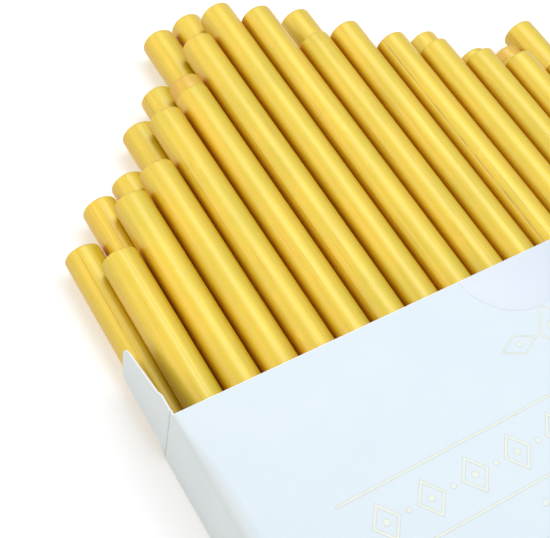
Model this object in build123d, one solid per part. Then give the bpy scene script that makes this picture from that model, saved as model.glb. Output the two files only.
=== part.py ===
from build123d import *

import math
import os

# Box of sealing wax sticks, lying on its back panel with the mouth open and the sticks drawn out.
# Millimetres. +X runs along the mouth from the left wall to the right wall, +Y points out of the mouth
# along the sticks, +Z is up. The origin is the middle of the carton's underside.

# Sticks
stick_diameter = 11.0
stick_length = 135.0
stick_rim_round = 0.8
stick_gap = 0.3
row_gap = 0.2
lower_count = 18
upper_count = lower_count - 1

# Length of each stick that is still inside the carton, from the left wall to the right wall.
# The rest of the stick stands out of the mouth.
lower_held = [71.5, 59, 54.5, 39, 29, 8.5, 6, 24, 40, 18, 48, 57, 43.5, 56.5, 60, 53, 71, 80]
upper_held = [82.5, 67, 60.5, 44.5, 35.5, 22.5, 13.5, 19.5, 36.5, 36.5, 46.5, 54.5, 64, 70, 77, 84, 91]

# Carton board and the room around the sticks
board = 0.5
fold_round = 0.4
under_clearance = 0.3
head_clearance = 6.0
side_clearance = 0.4
spare_width = 0.3
end_clearance = 1.5
wall_lead = 1.2

# Dust flaps of the mouth: full height at the crease, a small shoulder, then a taper to a rounded tip
dust_flap_length = 24.9
dust_flap_clearance = 0.3
dust_flap_shoulder_run = 4.8
dust_flap_shoulder_length = 2.1
dust_flap_shoulder_drop = 1.8
dust_flap_tip_drop = 5.6
dust_flap_heel_rise = 2.9
dust_flap_heel_run = 3.6
dust_flap_end_lean = 0.5
dust_flap_tip_round = 5.0
dust_flap_toe_round = 2.0
dust_flap_heel_round = 0.8

# Lid panel and tuck tongue
lid_inset = 1.8
tongue_length = 16.0
tongue_inset = 3.2
tongue_round = 10.0

# Glued end and glue flap
glue_flap_width = 14.0
glue_flap_taper = 6.0
glue_flap_setback = 2.0
base_dust_flap_length = 60.0
base_inner_flap_gap = 3.0

# Clear round wafer seal, slit along the mouth
seal_radius = 16.0
seal_film = 0.1
seal_off_centre = -1.2

# Places worked out from the sizes above
stick_radius = stick_diameter / 2
pitch = stick_diameter + stick_gap
row_rise = math.sqrt((stick_diameter + row_gap) ** 2 - (pitch / 2) ** 2)
lower_z = board + under_clearance + stick_radius
upper_z = lower_z + row_rise

inner_height = under_clearance + stick_diameter + row_rise + head_clearance
carton_height = inner_height + 2 * board
lower_row_width = stick_diameter + (lower_count - 1) * pitch
inner_width = side_clearance + lower_row_width + side_clearance + spare_width + board
carton_width = inner_width + 2 * board
base_plies = 3
carton_depth = stick_length + end_clearance + base_plies * board

left_x = -carton_width / 2
right_x = carton_width / 2
mouth_y = carton_depth / 2
base_y = -carton_depth / 2
crease_y = mouth_y + wall_lead
inner_left_x = left_x + board
inner_right_x = right_x - board
inner_top_z = carton_height - board
first_stick_x = inner_left_x + side_clearance + stick_radius

lid_length = carton_height
lid_z = seal_film
lid_far_y = mouth_y + lid_length


def block(x_low, x_high, y_low, y_high, z_low, z_high):
    """A flat piece of board between the given faces."""
    plate = Box(x_high - x_low, y_high - y_low, z_high - z_low)
    middle = ((x_low + x_high) / 2, (y_low + y_high) / 2, (z_low + z_high) / 2)
    return Pos(*middle) * plate


def save(node, solid):
    export_step(solid, f"parts/{node}.step")


def stick(x, z, held):
    """One wax stick with rounded rims, lying along Y with its inner end held inside the mouth."""
    rod = Cylinder(stick_radius, stick_length)
    rod = fillet(rod.edges().filter_by(GeomType.CIRCLE), stick_rim_round)
    middle_y = mouth_y - held + stick_length / 2
    return Pos(x, middle_y, z) * Rot(-90, 0, 0) * rod


def sticks_of_row(row, count, first_x, z, held_lengths):
    for index in range(count):
        held = held_lengths[index % len(held_lengths)]
        save(f"{row}_stick_{index + 1:02d}", stick(first_x + index * pitch, z, held))


def wide_panel(z_low, outer_z):
    """Front or back panel: it covers the side walls' edges, and its long outer edges are folded round."""
    panel = block(left_x, right_x, base_y, mouth_y, z_low, z_low + board)
    outer_edges = [edge for edge in panel.edges().filter_by(Axis.Y) if abs(edge.center().Z - outer_z) < board / 2]
    return fillet(outer_edges, fold_round)


def mouth_dust_flap():
    """Left dust flap in line with the left wall, drawn in its own plane as (distance from crease, height)."""
    low_z = board + dust_flap_clearance
    high_z = inner_top_z - dust_flap_clearance
    shoulder_y = dust_flap_shoulder_run + dust_flap_shoulder_length
    shoulder_z = high_z - dust_flap_shoulder_drop
    heel = Vector(dust_flap_heel_run, low_z + dust_flap_heel_rise)
    toe = Vector(dust_flap_length - dust_flap_end_lean, low_z + dust_flap_heel_rise)
    tip = Vector(dust_flap_length, shoulder_z - dust_flap_tip_drop)
    corners = [
        (0, low_z), heel, toe, tip,
        (shoulder_y, shoulder_z), (dust_flap_shoulder_run, high_z), (0, high_z),
    ]
    outline = Polyline(*corners, close=True)
    face = make_face(outline)

    def corner_at(point):
        return face.vertices().sort_by_distance(Vector(point.X, point.Y, 0))[0]

    face = fillet(corner_at(tip), dust_flap_tip_round)
    face = fillet(corner_at(toe), dust_flap_toe_round)
    face = fillet(corner_at(heel), dust_flap_heel_round)
    upright = Plane(origin=(left_x, crease_y, 0), x_dir=(0, 1, 0), z_dir=(1, 0, 0))
    return extrude(upright * face, board)


def half_seal(center_y, z_low):
    """Half of the wafer seal on the inner side of a straight edge at center_y."""
    disc = Pos(seal_off_centre, center_y, z_low) * Circle(seal_radius)
    keep = Pos(seal_off_centre, center_y - seal_radius / 2, z_low) * Rectangle(2 * seal_radius, seal_radius)
    return extrude(disc & keep, seal_film, dir=(0, 0, 1))


def lid_tongue():
    """Tuck tongue lying flat beyond the lid, with its two far corners cut round."""
    tongue = block(
        left_x + tongue_inset, right_x - tongue_inset,
        lid_far_y, lid_far_y + tongue_length,
        lid_z, lid_z + board,
    )
    far_corners = tongue.edges().filter_by(Axis.Z).group_by(Axis.Y)[-1]
    return fillet(far_corners, tongue_round)


def glue_flap():
    """Flap of the back panel, turned up and glued inside the right wall, with tapered ends."""
    start_y = base_y + base_plies * board + glue_flap_setback
    end_y = mouth_y - glue_flap_setback
    corners = [
        (start_y, board), (end_y, board),
        (end_y - glue_flap_taper, board + glue_flap_width), (start_y + glue_flap_taper, board + glue_flap_width),
    ]
    upright = Plane(origin=(inner_right_x - board, 0, 0), x_dir=(0, 1, 0), z_dir=(1, 0, 0))
    return extrude(upright * make_face(Polyline(*corners, close=True)), board)


def base_ply(ply, x_low, x_high, z_low, z_high):
    """One layer of the glued end: ply 0 is outermost."""
    y_low = base_y + ply * board
    return block(x_low, x_high, y_low, y_low + board, z_low, z_high)


def make_sticks():
    sticks_of_row("lower", lower_count, first_stick_x, lower_z, lower_held)
    sticks_of_row("upper", upper_count, first_stick_x + pitch / 2, upper_z, upper_held)


def make_sleeve():
    save("back_panel", wide_panel(0, 0))
    save("front_panel", wide_panel(inner_top_z, carton_height))
    save("left_wall", block(left_x, inner_left_x, base_y, crease_y, board, inner_top_z))
    save("right_wall", block(inner_right_x, right_x, base_y, crease_y, board, inner_top_z))
    save("glue_flap", glue_flap())


def make_mouth():
    left_flap = mouth_dust_flap()
    save("mouth_dust_flap_left", left_flap)
    save("mouth_dust_flap_right", mirror(left_flap, about=Plane.YZ))
    save("lid_panel", block(left_x + lid_inset, right_x - lid_inset, mouth_y, lid_far_y, lid_z, lid_z + board))
    save("lid_tongue", lid_tongue())
    save("seal_half_front", half_seal(mouth_y, carton_height))
    save("seal_half_lid", half_seal(lid_far_y, lid_z - seal_film))


def make_glued_end():
    inner_flap_low_z = board + base_inner_flap_gap
    save("base_outer_flap", base_ply(0, inner_left_x, inner_right_x, board, inner_top_z))
    save("base_inner_flap", base_ply(1, inner_left_x, inner_right_x, inner_flap_low_z, inner_top_z))
    left_flap = base_ply(2, inner_left_x, inner_left_x + base_dust_flap_length, board, inner_top_z)
    save("base_dust_flap_left", left_flap)
    save("base_dust_flap_right", mirror(left_flap, about=Plane.YZ))


os.makedirs("parts", exist_ok=True)
make_sticks()
make_sleeve()
make_mouth()
make_glued_end()
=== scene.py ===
import math
import random

import bmesh
import bpy
from mathutils import Matrix, Quaternion, Vector


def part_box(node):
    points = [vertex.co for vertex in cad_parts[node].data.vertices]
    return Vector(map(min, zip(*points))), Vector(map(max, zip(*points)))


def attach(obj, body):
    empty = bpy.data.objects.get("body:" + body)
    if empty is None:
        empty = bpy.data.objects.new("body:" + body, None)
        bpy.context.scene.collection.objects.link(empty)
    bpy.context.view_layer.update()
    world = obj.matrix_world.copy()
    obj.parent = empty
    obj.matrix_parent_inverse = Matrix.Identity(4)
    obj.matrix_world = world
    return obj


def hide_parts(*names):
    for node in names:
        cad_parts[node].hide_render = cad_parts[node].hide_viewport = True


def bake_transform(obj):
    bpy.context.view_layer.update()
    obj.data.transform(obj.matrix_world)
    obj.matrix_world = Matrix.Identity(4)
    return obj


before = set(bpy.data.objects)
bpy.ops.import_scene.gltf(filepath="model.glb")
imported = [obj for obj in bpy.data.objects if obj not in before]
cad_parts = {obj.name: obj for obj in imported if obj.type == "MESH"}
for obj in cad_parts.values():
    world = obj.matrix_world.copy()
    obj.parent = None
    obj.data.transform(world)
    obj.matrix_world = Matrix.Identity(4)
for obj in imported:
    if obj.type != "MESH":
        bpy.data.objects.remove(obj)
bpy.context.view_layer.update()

# Box of sealing wax sticks. The board carton lies on its back with the mouth open, the lid flat on the
# table and two rows of gold wax sticks drawn out of the mouth. Metres, in the frame of the solids.
mm = 0.001

# Carton
carton_low, carton_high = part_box("back_panel")[0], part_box("front_panel")[1]
left_x, right_x = carton_low.x, carton_high.x
base_y, mouth_y = carton_low.y, carton_high.y
panel_top_z = carton_high.z
crease_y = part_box("left_wall")[1].y
board = 0.5 * mm
worn_edge_width = 0.25 * mm
crease_half_width = 0.5 * mm
crease_depth = 0.24 * mm

# Folds of the sleeve: tight at its ends and along the table, soft along the top, over a run from each end.
# The sleeve begins where the closed end's flap lies against it, end_flap_depth in.
tight_fold = 0.9 * mm
soft_fold = 4.2 * mm
mouth_fold_run = 24 * mm
end_fold_run = 14.4 * mm
end_flap_depth = 0.6 * mm

# Dust flaps of the mouth, from their crease and their top edge, as in the solids
shoulder_start = 4.8 * mm
shoulder_reach = 6.9 * mm
shoulder_drop = 1.8 * mm
tip_drop = 5.6 * mm
toe_lean = 0.5 * mm
heel_reach = 3.6 * mm
heel_rise = 2.9 * mm
tip_round, toe_round, heel_round = 5.0 * mm, 2.0 * mm, 0.8 * mm

# Lid and tuck tongue: how long the bend at each crease is, where it is cut, and the tongue's corners
lid_bend = 1.4 * mm
tongue_bend = 1.2 * mm
bend_shares = (0.25, 0.5, 0.75, 1)
tongue_round = 10 * mm

# Sticks, a little thinner than the boxes of their solids
stick_sides = 96
body_rings = 30
box_room = 0.02 * mm
seam_height = 0.05 * mm
line_depth = 0.04 * mm
lean_run = 2.5 * mm

# Shares of a stick's radius beyond which a seam and a mould line stand, and where its flanks begin, as the
# cosine of the angle round it. The flanks are painted a deeper gold as shade between the sticks; a flank with
# no stick beside it gets only a part of that painted shade.
seam_start, line_start = 0.97, 0.9
flank_start = 0.85
free_flank_shade = 0.25

# Sticks with a step near the tip, and how far the step is from it
stepped_sticks = {"upper_stick_05": 4.8 * mm, "lower_stick_08": 5.2 * mm, "lower_stick_15": 4.5 * mm}

# Wear of a stick as ranges to draw from, in millimetres: waves round the body, lean of the end faces,
# dents near the ends, and the crumpled wax behind a step
wave_height = (0.04, 0.09)
lean_depth = (0.02, 0.2)
dent_count, dent_reach, dent_size, dent_depth = 5, (-14, 14), (1.0, 2.4), (0.05, 0.16)
crumple_count, crumple_reach, crumple_size, crumple_depth = 14, (1, 9), (0.7, 1.3), (0.05, 0.1)

# Fine lines left along some sticks by their mould: the angle of each round the stick, in degrees from +X
# to +Z, and how dark it is
mould_lines = {
    "lower_stick_01": ((112.5, 0.75),),
    "upper_stick_01": ((86.25, 0.65),),
    "upper_stick_09": ((97.5, 0.6), (90.0, 0.7)),
    "upper_stick_11": ((135.0, 1.0),),
}

# Foil print on the front panel, in millimetres: two rules with a band of lozenges and dots between them, a row
# of dots beside the band and a group of three lozenges by the seal. A lozenge is given as half its width, half
# its height and its stroke, a dot as its radius.
foil_height, foil_rim_width = 0.03, 0.14
rule_end, rule_width, rule_places = 80.3, 0.75, (30.6, 13.4)
band_y, band_step, band_count = 22, 13, 12
band_lozenge, band_dot, between_dot = (4.2, 5.4, 0.9), 1.0, 0.8
row_y, row_step, row_half_count, row_dot = 8, 4.9, 7, 0.9
group_x, group_y, group_step = -1.2, 46, 12.5
side_lozenge, side_dot = (6, 3.2, 0.5), 0.8
middle_lozenge, middle_dot = (6, 8, 0.7), 2.4

# Lamps, in metres: the length of each and the place they are aimed at
lamp_aim = Vector((-0.02, 0.08, 0.0))
lamp_length = 1.2


def linear(red, green, blue):
    """A colour picked on a 0 to 255 scale, as the shader's sockets take it."""
    def channel(value):
        share = value / 255
        return share / 12.92 if share <= 0.04045 else ((share + 0.055) / 1.055) ** 2.4
    return channel(red), channel(green), channel(blue), 1.0


def eased(share):
    """A share held between 0 and 1, with a soft start and a soft end."""
    share = min(1.0, max(0.0, share))
    return share * share * (3 - 2 * share)


# Finishes

class Finish:
    """A material built on one Principled shader, with short calls for its nodes."""

    def __init__(self, name, roughness, metallic=0.0):
        self.material = bpy.data.materials.new(name)
        self.material.use_nodes = True
        self.tree = self.material.node_tree
        self.shader = self.tree.nodes["Principled BSDF"]
        self.set("Roughness", roughness)
        self.set("Metallic", metallic)
        self.place = self.add("ShaderNodeTexCoord").outputs["Object"]

    def add(self, kind, **settings):
        node = self.tree.nodes.new(kind)
        for name, value in settings.items():
            setattr(node, name, value)
        return node

    def set(self, socket, value):
        self.shader.inputs[socket].default_value = value

    def join(self, output, socket):
        self.tree.links.new(output, socket)

    def feed(self, output, socket):
        self.join(output, self.shader.inputs[socket])

    def grain(self, stretch, detail=3.0, softness=0.5, offset=(0, 0, 0)):
        """Noise with the given number of waves per metre along X, Y and Z."""
        mapping = self.add("ShaderNodeMapping")
        mapping.inputs["Scale"].default_value = stretch
        mapping.inputs["Location"].default_value = offset
        self.join(self.place, mapping.inputs["Vector"])
        noise = self.add("ShaderNodeTexNoise")
        noise.inputs["Scale"].default_value = 1.0
        noise.inputs["Detail"].default_value = detail
        noise.inputs["Roughness"].default_value = softness
        self.join(mapping.outputs["Vector"], noise.inputs["Vector"])
        return noise.outputs["Fac"]

    def spread(self, value, low, high, to_low=0.0, to_high=1.0):
        """The value's range low to high, stretched to a new range and clamped."""
        node = self.add("ShaderNodeMapRange", clamp=True)
        node.inputs["From Min"].default_value = low
        node.inputs["From Max"].default_value = high
        node.inputs["To Min"].default_value = to_low
        node.inputs["To Max"].default_value = to_high
        self.join(value, node.inputs["Value"])
        return node.outputs["Result"]

    def mix(self, share, first, second):
        """Two colours, each a fixed colour or an output, mixed by an output."""
        node = self.add("ShaderNodeMix", data_type="RGBA")
        self.join(share, node.inputs["Factor"])
        for socket, colour in ((node.inputs[6], first), (node.inputs[7], second)):
            if isinstance(colour, tuple):
                socket.default_value = colour
            else:
                self.join(colour, socket)
        return node.outputs[2]

    def colour(self, value, low, high, first, second):
        """Base colour that goes from the first colour to the second as the value goes from low to high."""
        self.feed(self.mix(self.spread(value, low, high), first, second), "Base Color")

    def times(self, first, second):
        """The product of two outputs."""
        node = self.add("ShaderNodeMath", operation="MULTIPLY")
        self.join(first, node.inputs[0])
        self.join(second, node.inputs[1])
        return node.outputs["Value"]

    def relief(self, *layers):
        """Bumps laid one over the other, each an output and its height in metres."""
        normal = None
        for height, distance in layers:
            bump = self.add("ShaderNodeBump")
            bump.inputs["Strength"].default_value = 1.0
            bump.inputs["Distance"].default_value = distance
            self.join(height, bump.inputs["Height"])
            if normal is not None:
                self.join(normal, bump.inputs["Normal"])
            normal = bump.outputs["Normal"]
        self.feed(normal, "Normal")


def gold_wax():
    """Satin gold wax: mica flakes, lengthwise drawing marks, cloudy patches, fine scratches and scuffs.

    Its flanks are painted a deeper orange gold as shade, where the sticks beside it stand close.
    """
    finish = Finish("gold_wax_satin", 0.6, 0.85)
    clouds = finish.grain((110, 45, 110), 4)
    streaks = finish.grain((1500, 18, 1500), 2)
    flakes = finish.grain((3600, 3600, 3600), 1)
    scratches = finish.grain((2600, 26, 2600), 1, offset=(3, 7, 1))
    scuffs = finish.grain((260, 150, 260), 5, 0.65, (9, 2, 4))
    plain = finish.mix(finish.spread(clouds, 0.35, 0.65), linear(219, 193, 4), linear(210, 193, 8))
    groove_shade = finish.add("ShaderNodeAttribute", attribute_name="groove_shade_tone").outputs["Fac"]
    # The flanks are mixed towards a deeper orange gold as painted shade between the sticks.
    rubbed = finish.mix(finish.spread(groove_shade, 0, 1, 0, 0.85), plain, linear(212, 145, 2))
    drawn = finish.mix(finish.spread(streaks, 0.3, 0.75, 0, 0.38), rubbed, linear(203, 160, 4))
    scratched = finish.mix(finish.spread(scratches, 0.67, 0.73, 0, 0.6), drawn, linear(186, 132, 14))
    scuffed = finish.mix(finish.spread(scuffs, 0.58, 0.76, 0, 0.55), scratched, linear(228, 200, 54))
    cap = finish.add("ShaderNodeAttribute", attribute_name="cap_tone").outputs["Fac"]
    capped = finish.mix(finish.spread(cap, 0, 1, 0, 0.6), scuffed, linear(208, 162, 12))
    line = finish.add("ShaderNodeAttribute", attribute_name="line_tone").outputs["Fac"]
    breaks = finish.spread(finish.grain((60, 130, 60), 3, offset=(5, 1, 8)), 0.38, 0.55, 0.4, 1.0)
    line_share = finish.times(finish.spread(line, 0.3, 1.0, 0, 0.8), breaks)
    finish.feed(finish.mix(line_share, capped, linear(138, 84, 6)), "Base Color")
    finish.feed(finish.spread(clouds, 0.3, 0.7, 0.6, 0.68), "Roughness")
    finish.set("Specular Tint", (1.0, 0.52, 0.14, 1.0))
    finish.set("Coat Weight", 1.0)
    finish.set("Coat Roughness", 0.38)
    finish.set("Coat IOR", 1.75)
    finish.relief(
        (clouds, 0.07 * mm), (scuffs, 0.035 * mm), (streaks, 0.004 * mm),
        (flakes, 0.006 * mm), (scratches, 0.005 * mm),
    )
    return finish.material


def printed_board():
    """Outer side of the carton: smooth coated board in a pale blue, with faint fibre clouds."""
    finish = Finish("pale_blue_board", 0.42)
    clouds = finish.grain((60, 60, 60), 4)
    fibres = finish.grain((900, 500, 900), 5, 0.6)
    tint = finish.mix(finish.spread(clouds, 0.3, 0.7), linear(228, 241, 247), linear(232, 243, 248))
    fibred = finish.mix(finish.spread(fibres, 0.45, 0.8, 0, 0.25), tint, linear(241, 246, 248))
    finish.feed(fibred, "Base Color")
    finish.feed(finish.spread(fibres, 0.3, 0.7, 0.38, 0.5), "Roughness")
    finish.relief((clouds, 0.04 * mm), (fibres, 0.006 * mm))
    return finish.material


def plain_board():
    """Inner side of the carton: uncoated white board with short fibres and specks."""
    finish = Finish("white_inner_board", 0.85)
    fibres = finish.grain((700, 420, 700), 6, 0.65)
    specks = finish.grain((2400, 1800, 2400), 2)
    pulp = finish.mix(finish.spread(fibres, 0.3, 0.7), linear(226, 226, 220), linear(240, 240, 235))
    specked = finish.mix(finish.spread(specks, 0.72, 0.8, 0, 0.4), pulp, linear(190, 184, 170))
    finish.feed(specked, "Base Color")
    finish.relief((fibres, 0.012 * mm), (specks, 0.006 * mm))
    return finish.material


def cut_board():
    """Cut edge of the board: bright white core with its layers showing."""
    finish = Finish("white_cut_edge", 0.7)
    layers = finish.grain((5200, 300, 5200), 3)
    finish.colour(layers, 0.35, 0.65, linear(238, 240, 240), linear(253, 253, 252))
    finish.relief((layers, 0.01 * mm))
    return finish.material


def worn_board():
    """Narrow band beside a cut edge, where the blue coat is rubbed to white."""
    finish = Finish("rubbed_white_edge", 0.55)
    rub = finish.grain((900, 900, 900), 4)
    finish.colour(rub, 0.35, 0.7, linear(252, 253, 254), linear(242, 248, 251))
    finish.relief((rub, 0.01 * mm))
    return finish.material


def crease_shade_board():
    """Bottom of a pressed crease, painted a darker blue grey as the shade that falls in the crease."""
    finish = Finish("crease_painted_shade", 0.65)
    cracks = finish.grain((500, 1400, 500), 4)
    finish.colour(cracks, 0.35, 0.65, linear(178, 190, 192), linear(212, 221, 224))
    finish.relief((cracks, 0.012 * mm))
    return finish.material


def ivory_foil():
    """Pale ivory foil pressed on the board."""
    finish = Finish("ivory_foil", 0.5)
    clouds = finish.grain((420, 420, 420), 3)
    finish.colour(clouds, 0.3, 0.7, linear(239, 245, 232), linear(245, 249, 238))
    finish.relief((clouds, 0.01 * mm))
    return finish.material


def foil_rim_shade():
    """Rim of the foil, painted a little darker than the board as shade at its pressed edge."""
    finish = Finish("foil_rim_painted_shade", 0.5)
    clouds = finish.grain((800, 800, 800), 3)
    finish.colour(clouds, 0.3, 0.7, linear(212, 217, 208), linear(222, 227, 220))
    return finish.material


def clear_film():
    """Clear wafer seal: glossy film stuck flat on the board, which looks a little lighter through it."""
    finish = Finish("clear_seal_film", 0.4)
    waves = finish.grain((150, 150, 150), 3)
    finish.colour(waves, 0.3, 0.7, linear(231, 239, 248), linear(234, 241, 250))
    finish.relief((waves, 0.03 * mm))
    return finish.material


wax = gold_wax()
blue_side = printed_board()
white_side = plain_board()
cut_edge = cut_board()
worn_edge = worn_board()
crease = crease_shade_board()
foil = ivory_foil()
foil_shade_edge = foil_rim_shade()
film = clear_film()
board_finishes = [blue_side, white_side, cut_edge, worn_edge, crease]
BLUE, WHITE, CUT, WORN, CREASE_SHADE = range(5)


# Making pieces

sharp_angle = math.radians(40)


def piece(name, bm, finishes):
    """A bmesh made into an object at the origin, smooth but for its sharp edges."""
    mesh = bpy.data.meshes.new(name)
    bm.to_mesh(mesh)
    bm.free()
    for finish in finishes:
        mesh.materials.append(finish)
    mesh.shade_smooth()
    mesh.set_sharp_from_angle(angle=sharp_angle)
    obj = bpy.data.objects.new(name, mesh)
    bpy.context.scene.collection.objects.link(obj)
    return obj


def whole(bm):
    """Everything in the mesh, as the operators take it."""
    return bm.verts[:] + bm.edges[:] + bm.faces[:]


def cut_across(bm, places, axis):
    """Cuts the mesh by planes square to an axis, so that it can bend or change there."""
    for place in places:
        bmesh.ops.bisect_plane(bm, geom=whole(bm), dist=1e-7, plane_co=axis * place, plane_no=axis)


def round_corner(bm, corner, radius):
    """Rounds one corner of a flat outline."""
    vert = min(bm.verts, key=lambda v: (v.co - corner).length)
    spans = [(edge.other_vert(vert).co - vert.co).normalized() for edge in vert.link_edges]
    half_angle = spans[0].angle(spans[1]) / 2
    bmesh.ops.bevel(
        bm, geom=[vert], offset=radius / math.tan(half_angle), offset_type="OFFSET",
        segments=8, profile=0.5, affect="VERTICES", material=-1,
    )


def thicken(bm, inward):
    """Gives flat board its thickness on the side that inward points to, and marks its sides and cut edges."""
    bm.normal_update()
    for face in bm.faces:
        if face.normal.dot(inward) > 0:
            face.normal_flip()
    rubbed = bm.faces.layers.int["rubbed"]
    for face in bm.faces:
        face.material_index = WORN if face[rubbed] else BLUE
    made = bmesh.ops.extrude_face_region(bm, geom=bm.faces[:], use_keep_orig=True)
    moved = [item for item in made["geom"] if isinstance(item, bmesh.types.BMVert)]
    bmesh.ops.translate(bm, verts=moved, vec=inward * board)
    bmesh.ops.recalc_face_normals(bm, faces=bm.faces[:])
    bm.normal_update()
    for face in bm.faces:
        facing = face.normal.dot(inward)
        if facing > 0.5:
            face.material_index = WHITE
        elif facing > -0.5:
            face.material_index = CUT


def flat_board(corners, rounds, bends, inward, joined_y):
    """A flat piece of board from its outline, with rounded corners, cuts along Y to bend at and a rubbed rim.

    Its edge at joined_y, where it is joined to other board, isn't rubbed.
    """
    bm = bmesh.new()
    bm.faces.new([bm.verts.new(corner) for corner in corners])
    for corner, radius in rounds:
        round_corner(bm, corner, radius)
    rubbed = bm.faces.layers.int.new("rubbed")
    inset = bmesh.ops.inset_region(bm, faces=bm.faces[:], thickness=worn_edge_width, use_even_offset=True)
    for face in bm.faces:
        face[rubbed] = 0
    for face in inset["faces"]:
        face[rubbed] = int(face.calc_center_median().y - joined_y > 2 * worn_edge_width)
    cut_across(bm, bends, Vector((0, 1, 0)))
    thicken(bm, inward)
    return bm


# Wax sticks

def stick_profile(radius, length, step_at):
    """Half section of a stick as (distance along, radius): dished ends, rounded rims and a plain body.

    A stick with a step gets a small lip there and is a little thinner from it to the tip.
    """
    # Distance from the end in millimetres, and share of the radius
    end = [
        (0.42, 0.0), (0.40, 0.22), (0.34, 0.45), (0.22, 0.65), (0.10, 0.79), (0.03, 0.86),
        (0.05, 0.905), (0.16, 0.95), (0.36, 0.98), (0.65, 0.995), (1.1, 1.0),
    ]
    near = [(along * mm, share * radius) for along, share in end]
    far = [(length - along, r) for along, r in reversed(near)]
    ring_step = (length - 2 * near[-1][0]) / (body_rings + 1)
    body = [(near[-1][0] + ring_step * (ring + 1), radius) for ring in range(body_rings)]
    if step_at:
        # Distance from the step and depth below the body, in millimetres
        tip_depth = 0.14
        lip = [
            (-1.0, 0), (-0.45, 0.02), (-0.15, 0.08), (0, 0.24),
            (0.2, 0.22), (0.6, tip_depth), (1.2, tip_depth),
        ]
        step_y = length - step_at
        lip_room = 1.6 * mm
        body = [(along, r) for along, r in body if along < step_y - lip_room]
        body += [(step_y + shift * mm, radius - depth * mm) for shift, depth in lip]
        far = [(along, r - tip_depth * mm * r / radius) for along, r in far]
    return near + body + far


def spun_stick(radius, length, step_at):
    """A clean stick along Y, with its near end at the origin."""
    bm = bmesh.new()
    line = [bm.verts.new((r, along, 0)) for along, r in stick_profile(radius, length, step_at)]
    for first, second in zip(line, line[1:]):
        bm.edges.new((first, second))
    bmesh.ops.spin(
        bm, geom=whole(bm), cent=(0, 0, 0), axis=(0, 1, 0), angle=math.tau, steps=stick_sides, use_merge=True,
    )
    bmesh.ops.remove_doubles(bm, verts=bm.verts[:], dist=0.001 * mm)
    bmesh.ops.recalc_face_normals(bm, faces=bm.faces[:])
    return bm


def neighbour_reach(node, side):
    """How far out the next stick of the row lies beside this one, on its left (-1) or right (1)."""
    row, number = node.split("_stick_")
    beside = f"{row}_stick_{int(number) + side:02d}"
    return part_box(beside)[1].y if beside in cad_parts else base_y


def draw_dents(draw, length, step_at):
    """Dents as (distance along, angle, size, depth): a few by the ends, and many small ones behind a step."""
    dents = [
        (draw.choice((0, length)) + draw.uniform(*dent_reach) * mm, draw.uniform(0, math.tau),
         draw.uniform(*dent_size) * mm, draw.uniform(*dent_depth) * mm)
        for _ in range(dent_count)
    ]
    if step_at:
        dents += [
            (length - step_at - draw.uniform(*crumple_reach) * mm, draw.uniform(0, math.pi),
             draw.uniform(*crumple_size) * mm, draw.uniform(*crumple_depth) * mm)
            for _ in range(crumple_count)
        ]
    return dents


def wax_stick(node, draw, step_at):
    """One stick with two mould seams, an uneven body, leaning ends, dents, mould lines and flanks painted
    darker as shade between sticks.
    """
    low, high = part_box(node)
    middle = (low + high) / 2
    length = high.y - low.y
    radius = (high.x - low.x) / 2 - seam_height - box_room
    bm = spun_stick(radius, length, step_at)

    seam_side = draw.randrange(stick_sides)
    seams = [math.tau * seam_side / stick_sides, math.tau * (seam_side / stick_sides + 0.5)]
    waves = [(draw.uniform(0, math.tau), draw.uniform(*wave_height)) for _ in range(2)]
    lean = [(draw.uniform(0, math.tau), draw.uniform(*lean_depth) * mm) for _ in range(2)]
    dents = draw_dents(draw, length, step_at)
    lines = [(math.radians(degrees), tone) for degrees, tone in mould_lines.get(node, ())]
    reaches = {side: neighbour_reach(node, side) for side in (-1, 1)}
    near_line = math.tau / stick_sides / 3

    cap_tone = bm.verts.layers.float.new("cap_tone")
    line_tone = bm.verts.layers.float.new("line_tone")
    groove_shade_tone = bm.verts.layers.float.new("groove_shade_tone")
    for vert in bm.verts:
        along = vert.co.y
        across = math.hypot(vert.co.x, vert.co.z)
        angle = math.atan2(vert.co.z, vert.co.x)
        share = across / radius
        vert[cap_tone] = float(bool(step_at) and along > length - step_at)
        # Flanks painted darker as shade: fully where a stick lies beside them, less where the stick stands out
        # alone.
        beyond = low.y + along - reaches[-1 if vert.co.x < 0 else 1]
        shade_beside = free_flank_shade if beyond > 0 else 1.0
        sideways = (abs(math.cos(angle)) - flank_start) / (1 - flank_start)
        vert[groove_shade_tone] = shade_beside * eased(sideways) * min(1.0, share)

        out = 0.0
        for phase, height in waves:
            out -= height * mm * (0.5 + 0.5 * math.sin(2 * angle + phase + along / length * 3)) * share
        for dent_along, dent_angle, size, depth in dents:
            turned = math.remainder(angle - dent_angle, math.tau) * radius
            out -= depth * math.exp(-((along - dent_along) ** 2 + turned ** 2) / size ** 2) * share
        on_seam = min(abs(math.remainder(angle - seam, math.tau)) for seam in seams) < near_line
        if on_seam and share > seam_start:
            out += seam_height
        for line, tone in lines:
            if abs(math.remainder(angle - line, math.tau)) < near_line and share > line_start:
                out -= line_depth
                vert[line_tone] = tone
        if across > 0:
            grown = (across + out) / across
            vert.co.x *= grown
            vert.co.z *= grown
        for end, (phase, depth) in zip((0, length), lean):
            near_end = max(0.0, 1 - abs(along - end) / lean_run)
            inwards = 1 if end == 0 else -1
            vert.co.y += inwards * near_end * depth * (0.5 + 0.5 * math.sin(angle + phase)) * share
    bmesh.ops.translate(bm, verts=bm.verts[:], vec=(middle.x, low.y, middle.z))
    stick = piece(f"wax_{node}", bm, [wax])
    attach(stick, node)
    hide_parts(node)


def make_sticks():
    """Every stick of the two rows, each with wear of its own."""
    draw = random.Random(35)
    for node in sorted(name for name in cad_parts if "_stick_" in name):
        wax_stick(node, draw, stepped_sticks.get(node, 0.0))


# Carton

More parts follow.
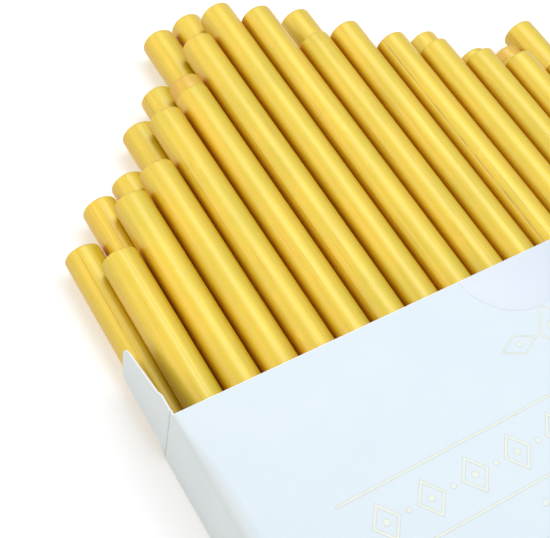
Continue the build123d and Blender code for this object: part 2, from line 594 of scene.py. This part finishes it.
def make_sleeve():
    """Four walls of board round the sticks. The two upper folds are soft away from the ends."""
    end_y = base_y + end_flap_depth
    size = Vector((right_x - left_x, mouth_y - end_y, panel_top_z))
    middle = Vector(((left_x + right_x) / 2, (mouth_y + end_y) / 2, panel_top_z / 2))
    bm = bmesh.new()
    bmesh.ops.create_cube(bm, size=1)
    bmesh.ops.scale(bm, vec=size, verts=bm.verts[:])
    bmesh.ops.translate(bm, vec=middle, verts=bm.verts[:])
    ends = [face for face in bm.faces if abs(face.normal.y) > 0.9]
    bmesh.ops.delete(bm, geom=ends, context="FACES_ONLY")
    folds = [edge for edge in bm.edges if abs(edge.verts[0].co.y - edge.verts[1].co.y) > size.y / 2]
    bmesh.ops.bevel(
        bm, geom=folds, offset=soft_fold, offset_type="OFFSET", segments=8, profile=0.5,
        affect="EDGES", material=-1,
    )
    from_mouth_mm = (1.5, 3, 5, 8, 11, 15, 19, 24, 29, 35, 42, 55, 70, 85, 95)
    from_end_mm = (30, 22, 16, 11, 7, 4, 2)
    stations = [mouth_y - worn_edge_width]
    stations += [mouth_y - inside * mm for inside in from_mouth_mm]
    stations += [end_y + inside * mm for inside in from_end_mm]
    cut_across(bm, stations, Vector((0, 1, 0)))
    fold_reach = soft_fold * 1.01
    for vert in bm.verts:
        corner_x = left_x if vert.co.x < 0 else right_x
        corner_z = 0.0 if vert.co.z < middle.z else panel_top_z
        if max(abs(vert.co.x - corner_x), abs(vert.co.z - corner_z)) >= fold_reach:
            continue
        softness = eased(min((mouth_y - vert.co.y) / mouth_fold_run, (vert.co.y - end_y) / end_fold_run))
        fold = tight_fold if corner_z == 0 else tight_fold + (soft_fold - tight_fold) * softness
        shrink = fold / soft_fold
        vert.co.x = corner_x + (vert.co.x - corner_x) * shrink
        vert.co.z = corner_z + (vert.co.z - corner_z) * shrink
    bm.normal_update()
    bmesh.ops.solidify(bm, geom=bm.faces[:], thickness=board)
    bm.normal_update()
    for face in bm.faces:
        here = face.calc_center_median()
        if abs(face.normal.y) > 0.7:
            face.material_index = CUT
        elif face.normal.dot(Vector((here.x - middle.x, 0, here.z - middle.z))) < 0:
            face.material_index = WHITE
        elif here.y > mouth_y - worn_edge_width and face.normal.z > 0.7:
            face.material_index = WORN
        else:
            face.material_index = BLUE
    sleeve = piece("carton_sleeve", bm, board_finishes)
    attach(sleeve, "carton")
    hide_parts("back_panel", "front_panel", "left_wall", "right_wall")


def make_closed_end():
    """Outer flap of the glued end, folded down from the front panel."""
    side_gap = foot_gap = 0.35 * mm
    fold = 0.55 * mm
    low_x, high_x = left_x + tight_fold, right_x - tight_fold
    bm = bmesh.new()
    foot = [bm.verts.new((x, base_y, foot_gap)) for x in (left_x + side_gap, right_x - side_gap)]
    brow = [bm.verts.new((x, base_y, panel_top_z)) for x in (low_x, high_x)]
    back = [bm.verts.new((x, base_y + end_flap_depth, panel_top_z)) for x in (low_x, high_x)]
    bm.faces.new((foot[0], foot[1], brow[1], brow[0]))
    bm.faces.new((brow[0], brow[1], back[1], back[0]))
    ridge = [edge for edge in bm.edges if set(edge.verts) == set(brow)]
    bmesh.ops.bevel(
        bm, geom=ridge, offset=fold, offset_type="OFFSET", segments=5, profile=0.5,
        affect="EDGES", material=-1,
    )
    rim = side_gap + worn_edge_width
    cut_across(bm, [foot_gap + worn_edge_width], Vector((0, 0, 1)))
    cut_across(bm, [left_x + rim, right_x - rim], Vector((1, 0, 0)))
    bmesh.ops.recalc_face_normals(bm, faces=bm.faces[:])
    bm.normal_update()
    if sum(face.normal.y for face in bm.faces) > 0:
        bmesh.ops.reverse_faces(bm, faces=bm.faces[:])
    bmesh.ops.solidify(bm, geom=bm.faces[:], thickness=board)
    bm.normal_update()
    for face in bm.faces:
        here = face.calc_center_median()
        at_side = min(here.x - left_x, right_x - here.x) < rim
        at_foot = here.z < foot_gap + worn_edge_width
        if face.normal.y > 0.5 or (face.normal.z < -0.5 and here.z > panel_top_z / 2):
            face.material_index = WHITE
        elif abs(face.normal.x) > 0.7 or face.normal.z < -0.5:
            face.material_index = CUT
        else:
            face.material_index = WORN if at_side or at_foot else BLUE
    flap = piece("closed_end_flap", bm, board_finishes)
    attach(flap, "carton")
    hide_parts("base_outer_flap")

    # The flaps behind it and the glue flap stay as they are in the solids, in white board
    for node in ("base_inner_flap", "base_dust_flap_left", "base_dust_flap_right", "glue_flap"):
        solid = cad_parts[node].data
        solid.materials.clear()
        solid.materials.append(white_side)


def make_dust_flaps():
    """Dust flaps of the mouth, in line with the side walls and creased where they leave them."""
    groove_half_width = 0.6 * crease_half_width
    groove_floor = 0.2 * crease_half_width
    for side, edge_x, inward in (("left", left_x, Vector((1, 0, 0))), ("right", right_x, Vector((-1, 0, 0)))):
        node = f"mouth_dust_flap_{side}"
        low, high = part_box(node)
        wall_low, wall_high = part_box(f"{side}_wall")
        shoulder_z = high.z - shoulder_drop
        heel = Vector((edge_x, crease_y + heel_reach, low.z + heel_rise))
        toe = Vector((edge_x, high.y - toe_lean, heel.z))
        tip = Vector((edge_x, high.y, shoulder_z - tip_drop))
        corners = [
            Vector((edge_x, mouth_y, wall_low.z)), Vector((edge_x, crease_y, low.z)), heel, toe, tip,
            Vector((edge_x, crease_y + shoulder_reach, shoulder_z)),
            Vector((edge_x, crease_y + shoulder_start, high.z)),
            Vector((edge_x, crease_y, high.z)), Vector((edge_x, mouth_y, wall_high.z)),
        ]
        bends = [crease_y + crease_half_width * share for share in (-1, -0.6, -0.25, 0, 0.25, 0.6, 1)]
        rounds = [(tip, tip_round), (toe, toe_round), (heel, heel_round)]
        bm = flat_board(corners, rounds, bends, inward, mouth_y)
        # The bottom of each crease gets the darker board as painted shade.
        for face in bm.faces:
            in_crease = abs(face.calc_center_median().y - crease_y) < groove_floor
            if in_crease and face.material_index == BLUE:
                face.material_index = CREASE_SHADE
        for vert in bm.verts:
            groove = max(0.0, 1 - abs(vert.co.y - crease_y) / groove_half_width)
            vert.co.x += inward.x * crease_depth * groove
        flap = piece(f"dust_flap_{side}", bm, board_finishes)
        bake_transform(flap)
        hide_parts(node)


def make_lid():
    """Lid panel and tuck tongue, lying open on the table with their white side up."""
    low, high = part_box("lid_panel")
    up = Vector((0, 0, 1))
    bends = [mouth_y + lid_bend * share for share in bend_shares]
    ends = ((low.x, mouth_y), (high.x, mouth_y), (high.x, high.y), (low.x, high.y))
    corners = [Vector((x, y, low.z)) for x, y in ends]
    bm = flat_board(corners, [], bends, up, mouth_y)
    for vert in bm.verts:
        settle = max(0.0, 1 - (vert.co.y - mouth_y) / lid_bend)
        vert.co.z -= low.z * settle
    lid = piece("lid_board", bm, board_finishes)
    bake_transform(lid)
    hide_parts("lid_panel")

    low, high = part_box("lid_tongue")
    bends = [low.y + tongue_bend * share for share in bend_shares]
    far = [Vector((high.x, high.y, low.z)), Vector((low.x, high.y, low.z))]
    corners = [Vector((low.x, low.y, low.z)), Vector((high.x, low.y, low.z)), *far]
    bm = flat_board(corners, [(corner, tongue_round) for corner in far], bends, up, low.y)
    tongue = piece("tuck_tongue", bm, board_finishes)
    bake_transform(tongue)
    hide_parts("lid_tongue")


def make_seals():
    """Round wafer seal, slit along the mouth: one half on the front panel, one under the lid."""
    rim_round = 0.04 * mm
    for node, body in (("seal_half_front", "carton"), ("seal_half_lid", "lid")):
        low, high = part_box(node)
        radius = (high.x - low.x) / 2
        centre = Vector(((low.x + high.x) / 2, high.y, low.z))
        bm = bmesh.new()
        bmesh.ops.create_circle(bm, cap_ends=True, radius=radius, segments=96)
        bmesh.ops.translate(bm, verts=bm.verts[:], vec=centre)
        bmesh.ops.bisect_plane(
            bm, geom=whole(bm), dist=1e-7, plane_co=centre, plane_no=Vector((0, 1, 0)), clear_outer=True,
        )
        made = bmesh.ops.extrude_face_region(bm, geom=bm.faces[:], use_keep_orig=True)
        top = [item for item in made["geom"] if isinstance(item, bmesh.types.BMVert)]
        bmesh.ops.translate(bm, verts=top, vec=(0, 0, high.z - low.z))
        bmesh.ops.recalc_face_normals(bm, faces=bm.faces[:])
        upper = [edge for edge in bm.edges if all(vert.co.z > low.z + rim_round for vert in edge.verts)]
        bmesh.ops.bevel(
            bm, geom=upper, offset=rim_round, offset_type="OFFSET", segments=2, profile=0.5,
            affect="EDGES", material=-1,
        )
        half = piece(node.replace("seal_half", "wafer_seal"), bm, [film])
        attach(half, body)
        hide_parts(node)


# Foil print

FOIL, FOIL_SHADE_RIM = range(2)


def foil_shape(bm, corners):
    """A flat shape on the front panel from its corners, in millimetres."""
    bm.faces.new([bm.verts.new((x * mm, y * mm, panel_top_z)) for x, y in corners])


def foil_dot(bm, x, y, radius, sides=20):
    """A round dot."""
    place = Matrix.Translation((x * mm, y * mm, panel_top_z))
    bmesh.ops.create_circle(bm, cap_ends=True, radius=radius * mm, segments=sides, matrix=place)


def foil_lozenge(bm, x, y, half_width, half_height, stroke):
    """A lozenge drawn as an outline, as four sloping strokes."""
    tips = [Vector(tip) for tip in ((half_width, 0), (0, half_height), (-half_width, 0), (0, -half_height))]
    inner = 1 - stroke * math.hypot(half_width, half_height) / (half_width * half_height)
    for first, second in zip(tips, tips[1:] + tips[:1]):
        stroke_corners = (first, second, second * inner, first * inner)
        foil_shape(bm, [(x + corner.x, y + corner.y) for corner in stroke_corners])


def foil_rule(bm, y):
    """A straight line along X."""
    low_y, high_y = y - rule_width / 2, y + rule_width / 2
    foil_shape(bm, [(-rule_end, low_y), (rule_end, low_y), (rule_end, high_y), (-rule_end, high_y)])


def make_print():
    """The printed shapes, standing a little above the board, with a rim painted darker as shade at its pressed
    edge.
    """
    bm = bmesh.new()
    for y in rule_places:
        foil_rule(bm, y)
    for index in range(band_count):
        x = (index - (band_count - 1) / 2) * band_step
        foil_lozenge(bm, x, band_y, *band_lozenge)
        foil_dot(bm, x, band_y, band_dot)
    for index in range(band_count - 1):
        foil_dot(bm, (index - (band_count - 2) / 2) * band_step, band_y, between_dot)
    for index in range(-row_half_count, row_half_count + 1):
        foil_dot(bm, index * row_step, row_y, row_dot)
    for side in (-1, 1):
        foil_lozenge(bm, group_x + side * group_step, group_y, *side_lozenge)
        foil_dot(bm, group_x + side * group_step, group_y, side_dot)
    foil_lozenge(bm, group_x, group_y, *middle_lozenge)
    foil_dot(bm, group_x, group_y, middle_dot, 32)
    bmesh.ops.remove_doubles(bm, verts=bm.verts[:], dist=0.001 * mm)
    bm.normal_update()
    down = [face for face in bm.faces if face.normal.z < 0]
    bmesh.ops.reverse_faces(bm, faces=down)
    made = bmesh.ops.extrude_face_region(bm, geom=bm.faces[:], use_keep_orig=True)
    raised = [item for item in made["geom"] if isinstance(item, bmesh.types.BMVert)]
    bmesh.ops.translate(bm, verts=raised, vec=(0, 0, foil_height * mm))
    bmesh.ops.recalc_face_normals(bm, faces=bm.faces[:])
    bm.normal_update()
    tops = [face for face in bm.faces if face.normal.z > 0.9]
    bmesh.ops.inset_region(bm, faces=tops, thickness=foil_rim_width * mm, use_even_offset=True)
    # The rim round each shape gets the darker finish as painted shade.
    for face in bm.faces:
        face.material_index = FOIL_SHADE_RIM
    for face in tops:
        face.material_index = FOIL
    printed = piece("foil_print", bm, [foil, foil_shade_edge])
    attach(printed, "carton")


# Stage

def lamp(name, place, width, power, colour):
    """A long soft lamp, level along its length."""
    light = bpy.data.lights.new(name, "AREA")
    light.shape = "RECTANGLE"
    light.size = lamp_length
    light.size_y = width
    light.energy = power
    light.color = colour
    obj = bpy.data.objects.new(name, light)
    obj.location = place
    obj.rotation_mode = "QUATERNION"
    obj.rotation_quaternion = (lamp_aim - Vector(place)).to_track_quat("-Z", "Y")
    bpy.context.scene.collection.objects.link(obj)


def seen_strength(tree, shed, seen):
    """One strength for the light shed on the part, and another for what the camera and reflections see."""
    path = tree.nodes.new("ShaderNodeLightPath")
    either = tree.nodes.new("ShaderNodeMath")
    either.operation = "MAXIMUM"
    tree.links.new(path.outputs["Is Camera Ray"], either.inputs[0])
    tree.links.new(path.outputs["Is Glossy Ray"], either.inputs[1])
    strength = tree.nodes.new("ShaderNodeMapRange")
    strength.inputs["To Min"].default_value = shed
    strength.inputs["To Max"].default_value = seen
    tree.links.new(either.outputs["Value"], strength.inputs["Value"])
    return strength.outputs["Result"]


def make_stage():
    """White surroundings, a white table that fades into them, a lamp overhead and a reflector on the left."""
    world = bpy.data.worlds.new("studio")
    bpy.context.scene.world = world
    world.use_nodes = True
    background = world.node_tree.nodes["Background"]
    background.inputs["Color"].default_value = (1.0, 0.99, 0.965, 1)
    strength = seen_strength(world.node_tree, shed=0.49, seen=1.0)
    world.node_tree.links.new(strength, background.inputs["Strength"])

    bm = bmesh.new()
    bmesh.ops.create_grid(bm, x_segments=1, y_segments=1, size=4)
    bmesh.ops.translate(bm, verts=bm.verts[:], vec=(0, 0, -0.1 * mm))
    white = bpy.data.materials.new("white_table")
    white.use_nodes = True
    tree = white.node_tree
    surface = tree.nodes["Principled BSDF"]
    surface.inputs["Base Color"].default_value = (0.81, 0.82, 0.83, 1)
    surface.inputs["Roughness"].default_value = 0.9
    surface.inputs["Specular IOR Level"].default_value = 0.1
    surface.inputs["Emission Color"].default_value = (1, 1, 1, 1)
    tree.links.new(seen_strength(tree, shed=0.0, seen=0.33), surface.inputs["Emission Strength"])
    floor = piece("table_top", bm, [white])

    lamp("overhead_softbox", (0.24, 0.22, 0.78), 0.30, 4.3, (0.795, 0.873, 1.0))
    lamp("left_reflector", (-0.60, 0.38, 0.38), 0.35, 1.72, (1.0, 0.81, 0.635))


def make_camera():
    """Above and behind the carton's left end, looking down along the sticks."""
    eye = Vector((-173.5, -34.5, 285.6)) * mm
    aim = Vector((-47.1, 107.9, 0)) * mm
    roll = math.radians(13.236)
    lens = bpy.data.cameras.new("photo_view")
    lens.sensor_width = 36
    lens.lens = 77.54
    lens.clip_start = 0.01
    camera = bpy.data.objects.new("photo_view", lens)
    camera.location = eye
    camera.rotation_mode = "QUATERNION"
    level = (aim - eye).to_track_quat("-Z", "Y")
    camera.rotation_quaternion = level @ Quaternion((0, 0, 1), roll)
    bpy.context.scene.collection.objects.link(camera)
    bpy.context.scene.camera = camera


bpy.context.scene.view_settings.view_transform = "Standard"
make_camera()
make_stage()
make_sticks()
make_sleeve()
make_closed_end()
make_dust_flaps()
make_lid()
make_seals()
make_print()
